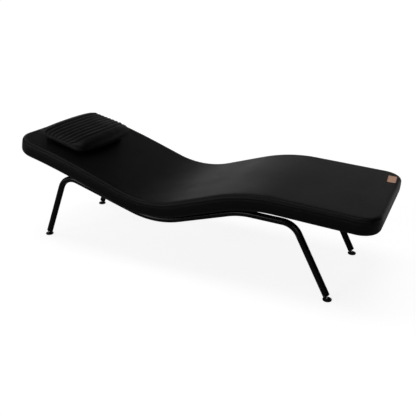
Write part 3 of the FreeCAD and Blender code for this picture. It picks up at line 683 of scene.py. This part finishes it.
def stitches(name, material, path, normals, kind, closed=False):
    """A row of stitches along a path."""
    pitch, length, radius = kind
    path = np.asarray(path, float)
    normals = np.asarray(normals, float)
    if closed:
        path = np.vstack([path, path[:1]])
        normals = np.vstack([normals, normals[:1]])
    steps = np.linalg.norm(np.diff(path, axis=0), axis=1)
    marks = np.concatenate([[0], np.cumsum(steps)])
    count = max(int(marks[-1] / pitch), 1)
    points, faces = [], []
    for k in range(count):
        middle = marks[-1] * (k + 0.5) / count
        ends = []
        for side in (-1, 1):
            at = middle + side * length / 2
            at = at % marks[-1] if closed else min(max(at, 0), marks[-1])
            ends.append(np.array([np.interp(at, marks, path[:, a]) for a in range(3)]))
        if np.linalg.norm(ends[1] - ends[0]) < length * LEAST_STITCH:
            continue
        normal = np.array([np.interp(middle, marks, normals[:, a]) for a in range(3)])
        normal /= np.linalg.norm(normal)
        new_points, new_faces = one_stitch(*ends, normal, radius, len(points))
        points += new_points
        faces += new_faces
    return new_object(name, points, faces, material)


def pad_seam_stitches():
    """Topstitching just below the seam, all round the side band."""
    depth = SEAM_DEPTH + PAD_STITCH_DROP
    path = pad_points(*plan_ring(-PAD_STITCH_OUT), depth)
    out = pad_points(*plan_ring(-PAD_STITCH_OUT - STITCH_LOOK_OUT), depth) - path
    row = stitches("pad_seam_stitches", BLACK_THREAD, path, out, PAD_STITCH, closed=True)
    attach(row, "lounger")


pad_cover()
pad_seam_stitches()


# The cloth under the pad

# how far the cloth hangs below the board's face
CLOTH_DROP = 0.00005


def under_cloth():
    """The dust cloth: a thin sheet stretched inside the cover's turned edge."""
    inset = TURNED_EDGE + CLOTH_GAP
    runs, cross = plan_grid(inset)
    upper_depth = PAD_THICKNESS - SKIN + CLOTH_DROP
    points = list(pad_points(runs, cross, upper_depth).reshape(-1, 3))
    base = len(points)
    points += list(pad_points(runs, cross, upper_depth + CLOTH_THICKNESS).reshape(-1, 3))
    rows, columns = runs.shape
    faces = grid_faces(rows, columns) + grid_faces(rows, columns, base, turned=True)
    upper = [i * columns + j for i, j in PLAN_EDGE]
    faces += quad_strip(upper, [base + k for k in upper])
    piece = new_object("under_cloth", points, faces, DUST_CLOTH)
    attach(piece, "lounger")
    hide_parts("dust_cloth")


under_cloth()


# The neck pillow

# how far the head and the front are rounded over, and how square their rounding and the crown are
HEAD_ROLL = 0.025
HEAD_ROLL_POWER = 2.4
FRONT_ROLL = 0.060
FRONT_ROLL_POWER = 2.1
CROWN_POWER = 2.7
# how much lower than its height the head end starts, and how soon the front roll levels off
HEAD_END_DROP = 0.003
ROLL_SETTLE = 0.02
ROLL_HEIGHT_SHARE = 0.9
# how far in from the seam the lower panel lifts off the back
SIDE_DRAW = 0.050
FRONT_DRAW = 0.055
HEAD_DRAW = 0.040
DRAW_POWER = 1.6
# the share of the half width that the stitches in the grooves reach
GROOVE_STITCH_SHARE = 0.975
# how soon the channels die out before the side seams, and how round and flat their tops are
CHANNEL_FADE = 0.011
CHANNEL_ROUND_SHARE = 0.45
CHANNEL_FLAT_POWER = 2.2
# soft waves, puckers along the channels, creases across the slack front roll, and how the
# grooves wander: rows of height, scale and seed
SOFT_WAVES = [(0.0011, 14, 3.0), (0.0005, 42, 9.0)]
PUCKERS = [(0.0005, 60, 4.0)]
CREASES = [(0.0016, 34, 7.0)]
SEAM_WANDER = [(0.0007, 11, 6.0)]
# how puckers and creases are drawn out, where the creases start behind the last groove and how
# soon they are full, and how soon all of it fades toward the seam
PUCKER_STRETCH = (3.2, 0.6)
CREASE_STRETCH = 0.5
CREASE_START = 0.008
CREASE_REACH = 0.02
EDGE_CALM = 12
# where the mesh has its lines: metres from the head, shares of a channel and of the front roll
HEAD_MARKS = [0, 0.001, 0.003, 0.006, 0.010, 0.015, 0.0205]
CHANNEL_MARKS = [0, 0.04, 0.1, 0.2, 0.35, 0.5, 0.65, 0.8, 0.9, 0.96]
FRONT_MARKS = [0, 0.02, 0.06, 0.14, 0.24, 0.34, 0.44, 0.54, 0.63, 0.71, 0.78, 0.84, 0.89, 0.93,
               0.96, 0.982, 0.994, 1]
SIDE_MARKS = [0, 0.07, 0.14, 0.21, 0.28, 0.35, 0.42, 0.49, 0.55, 0.61, 0.66, 0.71, 0.755, 0.795,
              0.83, 0.86, 0.885, 0.907, 0.926, 0.942, 0.956, 0.968, 0.978, 0.986, 0.992, 0.997, 1]

# the sewn field and its last groove, as distances from the head
LAST_GROOVE = FIRST_GROOVE + GROOVE_PITCH * (GROOVES - 1)
FIELD_START = FIRST_GROOVE - GROOVE_PITCH
FIELD_END = FIELD_START + GROOVE_PITCH * GROOVES

# points nearer than this are joined, and no normal is shorter than this before it is scaled
WELD_REACH = 0.00002
LEAST_NORMAL = 1e-12


def pillow_place():
    """The pillow's own frame: X along the back from its head end, Z out of the back."""
    middle = PILLOW_FROM_HEAD + PILLOW_LENGTH / 2
    at = pad_frame(middle, 0.0, -PILLOW_CLEARANCE)
    return at @ Matrix.Translation((-PILLOW_LENGTH / 2, 0, 0))


PILLOW_FRAME = pillow_place()


def pillow_outline(v):
    """The seam's head and front X at a share v of the half width."""
    left = (1 - np.abs(v)) * PILLOW_WIDTH / 2
    draws = []
    for radius in (PILLOW_HEAD_CORNER, PILLOW_FRONT_CORNER):
        gap = np.clip(radius - left, 0, None)
        draws.append(radius - np.sqrt(np.clip(radius ** 2 - gap ** 2, 0, None)))
    head = HEAD_BOW * v ** 2 + draws[0]
    front = PILLOW_LENGTH - FRONT_BOW * v ** 2 - draws[1]
    return head, front


def crown_height(x):
    """Height above the back of the line through the grooves, at a distance from the head."""
    slope = (LAST_GROOVE_HEIGHT - GROOVE_HEIGHT) / (LAST_GROOVE - FIRST_GROOVE)
    line = GROOVE_HEIGHT + slope * (x - FIRST_GROOVE)
    head = PILLOW_HEAD_HEIGHT - HEAD_END_DROP
    rise = np.where(x < FIRST_GROOVE, head + (GROOVE_HEIGHT - head) * x / FIRST_GROOVE, line)
    top = LAST_GROOVE_HEIGHT + CHANNEL_BULGE * ROLL_HEIGHT_SHARE
    settle = smoothstep((x - LAST_GROOVE) / ROLL_SETTLE)
    return rise * (1 - settle) + top * settle


def channel_share(x):
    """0 in a groove and 1 on a channel's crest; 0 outside the sewn field."""
    place = (x - FIELD_START) / GROOVE_PITCH
    inside = (place > 0) & (place < GROOVES)
    from_crest = np.abs(2 * (place - np.floor(place)) - 1)
    round_top = np.sqrt(np.clip(1 - from_crest ** 2, 0, None))
    flat_top = 1 - from_crest ** CHANNEL_FLAT_POWER
    share = CHANNEL_ROUND_SHARE * round_top + (1 - CHANNEL_ROUND_SHARE) * flat_top
    return np.where(inside, share, 0.0)


def pillow_columns():
    """Shares along the pillow, close together at the rolls and the grooves."""
    marks = list(HEAD_MARKS)
    for k in range(GROOVES):
        marks += [FIELD_START + GROOVE_PITCH * (k + share) for share in CHANNEL_MARKS]
    marks += [FIELD_END + (PILLOW_LENGTH - FIELD_END) * share for share in FRONT_MARKS]
    return np.array(marks) / PILLOW_LENGTH


def pillow_rows():
    """Shares of the half width from the near end to the far end."""
    return np.array([-share for share in reversed(SIDE_MARKS[1:])] + SIDE_MARKS)


def rounding(share, power):
    """A rounded step from 0 to 1."""
    return (1 - (1 - share) ** power) ** (1 / power)


def rise_to_seam(distance, reach):
    """1 at the seam, falling softly to 0 at a reach inward."""
    return (1 - np.clip(distance / reach, 0, 1)) ** DRAW_POWER


def pillow_surface():
    """Points of the pillow's upper and lower panel on a grid of shares along and across it."""
    u, v = np.meshgrid(pillow_columns(), pillow_rows())
    head, front = pillow_outline(v)
    x = head + (front - head) * u
    y = v * PILLOW_WIDTH / 2
    straight = u * PILLOW_LENGTH
    from_head = np.clip(straight / HEAD_ROLL, 0, 1)
    from_front = np.clip((1 - u) * PILLOW_LENGTH / FRONT_ROLL, 0, 1)
    roll = rounding(from_head, HEAD_ROLL_POWER) * rounding(from_front, FRONT_ROLL_POWER)
    across = (1 - np.abs(v) ** CROWN_POWER) ** (1 / CROWN_POWER)
    crown = (crown_height(straight) - PILLOW_SEAM) * across
    upper = np.stack([x, y, PILLOW_SEAM + crown * roll], axis=-1)
    to_side = (1 - np.abs(v)) * PILLOW_WIDTH / 2
    lift = CHANNEL_BULGE * channel_share(straight) * smoothstep(to_side / CHANNEL_FADE)
    creased = smoothstep((straight - LAST_GROOVE - CREASE_START) / CREASE_REACH)
    for i, j in np.ndindex(*u.shape):
        inner = min(1 - abs(v[i, j]), min(u[i, j], 1 - u[i, j])) * EDGE_CALM
        calm = min(max(inner, 0), 1)
        soft = wobbles((x[i, j], y[i, j], 0), SOFT_WAVES)
        pucker = wobbles((x[i, j] * PUCKER_STRETCH[0], y[i, j] * PUCKER_STRETCH[1], 0), PUCKERS)
        crease = wobbles((x[i, j] * CREASE_STRETCH, y[i, j], 0), CREASES) * creased[i, j]
        lift[i, j] += (soft + pucker + crease) * calm
        groove = round(straight[i, j] / GROOVE_PITCH)
        upper[i, j, 0] += calm * wobbles((y[i, j], groove, 0), SEAM_WANDER)
    normal = np.cross(np.gradient(upper, axis=1), np.gradient(upper, axis=0))
    normal /= np.maximum(np.linalg.norm(normal, axis=-1, keepdims=True), LEAST_NORMAL)
    upper += normal * lift[..., None]
    # the lower panel lies flat and draws up to the seam all round
    drawn = 1 - ((1 - rise_to_seam(to_side, SIDE_DRAW))
                 * (1 - rise_to_seam((1 - u) * PILLOW_LENGTH, FRONT_DRAW))
                 * (1 - rise_to_seam(straight, HEAD_DRAW)))
    lower = np.stack([x, y, PILLOW_SEAM * drawn], axis=-1)
    return upper, lower, normal


def groove_stitches(upper, normal):
    """A row of stitches along the bottom of each groove."""
    shares = pillow_columns() * PILLOW_LENGTH
    sewn = np.abs(pillow_rows()) < GROOVE_STITCH_SHARE
    turn = PILLOW_FRAME.to_3x3()
    for k in range(GROOVES):
        column = int(np.argmin(np.abs(shares - FIRST_GROOVE - GROOVE_PITCH * k)))
        path = [PILLOW_FRAME @ Vector(p) for p in upper[sewn, column]]
        out = [turn @ Vector(p) for p in normal[sewn, column]]
        row = stitches(f"groove_stitches_{k + 1}", BLACK_THREAD, path, out, GROOVE_STITCH)
        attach(row, "pillow")


def pillow_cover(upper, lower):
    """The pillow as one closed form with its channels."""
    rows, columns = upper.shape[:2]
    points = [PILLOW_FRAME @ Vector(p) for panel in (upper, lower) for p in panel.reshape(-1, 3)]
    faces = grid_faces(rows, columns, turned=True) + grid_faces(rows, columns, rows * columns)
    piece = new_object("pillow_case", points, faces, PILLOW_LEATHER)
    weld = piece.modifiers.new("weld", "WELD")
    weld.merge_threshold = WELD_REACH
    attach(piece, "pillow")
    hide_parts("pillow_cover", "pillow_core")


def pillow_welt(line):
    """A thin round piping along the pillow's seam."""
    curve = bpy.data.curves.new("pillow_welt", "CURVE")
    curve.dimensions = "3D"
    curve.bevel_depth = WELT_RADIUS
    curve.bevel_resolution = 3
    spline = curve.splines.new("POLY")
    kept = [line[0]]
    for point in line[1:]:
        if (point - kept[-1]).length > WELT_STEP:
            kept.append(point)
    spline.points.add(len(kept) - 1)
    for spot, point in zip(spline.points, kept):
        spot.co = (*point, 1)
    spline.use_cyclic_u = True
    curve.materials.append(PILLOW_LEATHER)
    shape = bpy.data.objects.new("pillow_welt_line", curve)
    bpy.context.scene.collection.objects.link(shape)
    bpy.context.view_layer.update()
    graph = bpy.context.evaluated_depsgraph_get()
    mesh = bpy.data.meshes.new_from_object(shape.evaluated_get(graph))
    mesh.shade_smooth()
    piece = bpy.data.objects.new("pillow_welt", mesh)
    bpy.context.scene.collection.objects.link(piece)
    bpy.data.objects.remove(shape)
    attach(piece, "pillow")


def pillow():
    """The pillow with the stitches in its grooves and the piping in its seam."""
    upper, lower, normal = pillow_surface()
    groove_stitches(upper, normal)
    pillow_cover(upper, lower)
    pillow_welt([PILLOW_FRAME @ Vector(lower[i, j]) for i, j in grid_edge(*lower.shape[:2])])


pillow()


# The leather label

# the rounded rim, the share of it where its slope changes, and the sharpest corner
LABEL_RIM = 0.0004
RIM_KNEE = 0.3
LEAST_CORNER = 0.0006
# the pressed line round the tag: where it starts, is down, ends and is up again, and its depth
PRESSED_LINE = (0.0022, 0.0026, 0.0034, 0.0038)
PRESSED_DEPTH = 0.0003
LABEL_STITCH_INSET = 0.003
LABEL_STITCH_CORNER = 0.0022
LABEL_STITCH_SINK = 0.0001
LABEL_CORNER_STEPS = 6


def rounded_outline(length, width, radius):
    """Corners of a rectangle centred on the origin, each rounded by a few points."""
    points = []
    for sx, sy, start in ((1, -1, -90), (1, 1, 0), (-1, 1, 90), (-1, -1, 180)):
        for k in range(LABEL_CORNER_STEPS + 1):
            angle = math.radians(start + 90 * k / LABEL_CORNER_STEPS)
            points.append((sx * (length / 2 - radius) + radius * math.cos(angle),
                           sy * (width / 2 - radius) + radius * math.sin(angle)))
    return points


def leather_label():
    """A tan leather tag with rounded edges, a pressed border line and a stitched rim."""
    run = PAD_RUN - LABEL_FROM_FOOT - LABEL_LENGTH / 2
    across = PAD_WIDTH / 2 - LABEL_FROM_SIDE - LABEL_WIDTH / 2
    place = pad_frame(run, across) @ Matrix.Rotation(math.radians(LABEL_TURN), 4, "Z")
    top, pressed = LABEL_THICKNESS, LABEL_THICKNESS - PRESSED_DEPTH
    knee = LABEL_RIM * RIM_KNEE
    rings = [(0.0, 0.0), (0.0, top - LABEL_RIM), (knee, top - knee), (LABEL_RIM, top),
             *zip(PRESSED_LINE, (top, pressed, pressed, top))]
    points, faces, last = [], [], None
    for inset, height in rings:
        outline = rounded_outline(LABEL_LENGTH - 2 * inset, LABEL_WIDTH - 2 * inset,
                                  max(LABEL_CORNER - inset, LEAST_CORNER))
        base = len(points)
        points += [place @ Vector((px, py, height)) for px, py in outline]
        current = list(range(base, len(points)))
        if last:
            faces += quad_strip(last, current)
        else:
            faces.append(tuple(reversed(current)))
        last = current
    faces.append(tuple(last))
    piece = new_object("label_tag", points, faces, TAN, smooth=False)
    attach(piece, "lounger")
    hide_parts("leather_label")
    inner = rounded_outline(LABEL_LENGTH - 2 * LABEL_STITCH_INSET,
                            LABEL_WIDTH - 2 * LABEL_STITCH_INSET, LABEL_STITCH_CORNER)
    path = [place @ Vector((px, py, top - LABEL_STITCH_SINK)) for px, py in inner]
    up = place.to_3x3() @ Vector((0, 0, 1))
    row = stitches("label_stitches", TAN_THREAD, path, [up] * len(path), LABEL_STITCH, closed=True)
    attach(row, "lounger")


leather_label()


# Finishes of the carried-over pieces

FINISHES = [
    ("side_rail", COAT), ("cross_bar", COAT), ("saddles", COAT), ("mounting_screws", ZINC),
    ("insert_nuts", ZINC), ("plug_nuts", ZINC), ("foot_stem", ZINC), ("tube_plugs", PLASTIC),
    ("glide_disc", PLASTIC), ("glide_sole", RUBBER), ("base_board", PLYWOOD),
    ("dust_cloth", DUST_CLOTH), ("foam_core", DUST_CLOTH), ("cover", PAD_LEATHER),
    ("pillow", PILLOW_LEATHER), ("leather_label", TAN),
]


def finish_nodes():
    """Give each node of the frame its material."""
    for name, node in frame["nodes"].items():
        for start, material in FINISHES:
            if name.startswith(start):
                node.data.materials.clear()
                node.data.materials.append(material)
                break


finish_nodes()


# Floor, light and camera

def white_rays(graph):
    """1 for rays of the camera and rays that pass through glass, and the glossy ray's mark."""
    path = graph.add("ShaderNodeLightPath")
    seen = graph.math("MAXIMUM", path.outputs["Is Camera Ray"],
                      path.outputs["Is Transmission Ray"])
    return seen, path.outputs["Is Glossy Ray"]


# the floor's own colour, and how much it glows in the picture and in reflections, there more
# behind the object's foot end, where the glow rises over a stretch of Y and one of X
# the stronger glow behind the foot end is a painted reflection, seen only in reflections, that
# puts a bright strip on the pad's foot end
FLOOR_COLOUR = (0.34, 0.34, 0.34)
FLOOR_GLOW = 0.87
FLOOR_GLOSS_GLOW = 0.02
FLOOR_FOOT_GLOSS_GLOW = 0.33
FLOOR_FOOT_Y = (0.4, 1.2)
FLOOR_FOOT_X = (0.9, 1.5)
FLOOR_REACH = 40.0
FLOOR_GAP = 0.0002


def floor_material():
    """A pale matt floor: it glows to white in the picture and keeps the object's shadow; behind
    the foot end it glows in reflections only, a painted reflection.
    """
    material = bpy.data.materials.new("pale_floor")
    material.use_nodes = True
    graph = Graph(material.node_tree)
    graph.tree.nodes.clear()
    diffuse = graph.add("ShaderNodeBsdfDiffuse")
    graph.feed(diffuse.inputs["Color"], FLOOR_COLOUR)
    seen, glossy = white_rays(graph)
    split = graph.add("ShaderNodeSeparateXYZ")
    graph.join(graph.add("ShaderNodeNewGeometry").outputs["Position"], split.inputs[0])
    # painted reflection: the floor glows more in reflections behind the foot end
    shine = FLOOR_FOOT_GLOSS_GLOW
    for axis, stretch in (("X", FLOOR_FOOT_X), ("Y", FLOOR_FOOT_Y)):
        rise = graph.span(split.outputs[axis], 0.0, 1.0, *stretch)
        shine = graph.math("MULTIPLY", rise, shine)
    shine = graph.math("ADD", shine, FLOOR_GLOSS_GLOW)
    strength = graph.math("ADD", graph.math("MULTIPLY", seen, FLOOR_GLOW),
                          graph.math("MULTIPLY", glossy, shine))
    glow = graph.add("ShaderNodeEmission")
    graph.join(strength, glow.inputs["Strength"])
    total = graph.add("ShaderNodeAddShader")
    graph.join(diffuse.outputs[0], total.inputs[0])
    graph.join(glow.outputs[0], total.inputs[1])
    graph.join(total.outputs[0], graph.add("ShaderNodeOutputMaterial").inputs["Surface"])
    return material


def floor():
    """A wide flat floor just below the soles."""
    reach = FLOOR_REACH
    corners = [(-reach, -reach, -FLOOR_GAP), (reach, -reach, -FLOOR_GAP),
               (reach, reach, -FLOOR_GAP), (-reach, reach, -FLOOR_GAP)]
    new_object("floor", corners, [(0, 1, 2, 3)], floor_material())


def direction(azimuth, elevation):
    """A unit vector: azimuth 0 is +Y and 90 is +X."""
    a, e = math.radians(azimuth), math.radians(elevation)
    return Vector((math.sin(a) * math.cos(e), math.cos(a) * math.cos(e), math.sin(e)))


# soft bright zones of the studio: azimuth, elevation, half angle and strength
GLOW_ZONES = [(-120, 8, 22, 1.09), (-50, 6, 16, 0.27), (-35, 6, 14, 0.61), (-20, 6, 14, 0.55),
              (0, 6, 14, 0.26), (22, 4, 17, 0.35), (-60, 26, 18, 0.54), (0, 26, 18, 0.34),
              (-60, 48, 20, 0.42)]


def world():
    """A dim studio with soft bright zones low down, white where the camera looks at it."""
    space = bpy.data.worlds.new("studio")
    bpy.context.scene.world = space
    space.use_nodes = True
    graph = Graph(space.node_tree)
    graph.tree.nodes.clear()
    place = graph.add("ShaderNodeTexCoord").outputs["Generated"]
    total = 0.0
    for azimuth, elevation, half_angle, strength in GLOW_ZONES:
        facing = graph.add("ShaderNodeVectorMath", operation="DOT_PRODUCT")
        graph.join(place, facing.inputs[0])
        facing.inputs[1].default_value = direction(azimuth, elevation)
        zone = graph.span(facing.outputs["Value"], 0.0, strength,
                          math.cos(math.radians(half_angle)), interpolation_type="SMOOTHSTEP")
        total = graph.math("ADD", total, zone)
    seen, _ = white_rays(graph)
    pick = graph.add("ShaderNodeMix", data_type="FLOAT")
    graph.join(seen, pick.inputs["Factor"])
    graph.join(total, pick.inputs["A"])
    pick.inputs["B"].default_value = 1.0
    back = graph.add("ShaderNodeBackground")
    graph.join(pick.outputs["Result"], back.inputs["Strength"])
    back.inputs["Color"].default_value = (1, 1, 1, 1)
    graph.join(back.outputs[0], graph.add("ShaderNodeOutputWorld").inputs["Surface"])


# wide soft lamps: azimuth, elevation, how wide they look in degrees, and strength
SOFT_LAMPS = [("front_left_lamp", -150, 20, 24, 0.60), ("front_right_lamp", 150, 20, 24, 0.28),
              ("left_lamp", -90, 66, 22, 0.24), ("side_lamp", -108, 42, 24, 0.17),
              ("top_lamp", 0, 90, 28, 0.50), ("right_lamp", 90, 66, 24, 0.06)]
LAMP_DISTANCE = 4.0


def lamps():
    """Wide lamps far away, so that they light the object and the floor evenly."""
    for name, azimuth, elevation, width, strength in SOFT_LAMPS:
        data = bpy.data.lights.new(name, "SUN")
        data.energy = strength
        data.angle = math.radians(width)
        lamp = bpy.data.objects.new(name, data)
        bpy.context.scene.collection.objects.link(lamp)
        toward = direction(azimuth, elevation)
        lamp.location = toward * LAMP_DISTANCE
        lamp.rotation_euler = (-toward).to_track_quat("-Z", "Y").to_euler()


def camera():
    """The photograph's camera."""
    data = bpy.data.cameras.new("camera")
    data.sensor_width = SENSOR
    data.lens = SENSOR * FOCAL_PIXELS / FRAME_PIXELS
    data.clip_start, data.clip_end = CAMERA_CLIP
    eye = bpy.data.objects.new("camera", data)
    bpy.context.scene.collection.objects.link(eye)
    eye.location = CAMERA_PLACE
    eye.rotation_euler = (math.radians(90 - CAMERA_PITCH), 0, math.radians(CAMERA_YAW))
    bpy.context.scene.camera = eye


floor()
world()
lamps()
camera()
bpy.context.scene.view_settings.view_transform = "Standard"
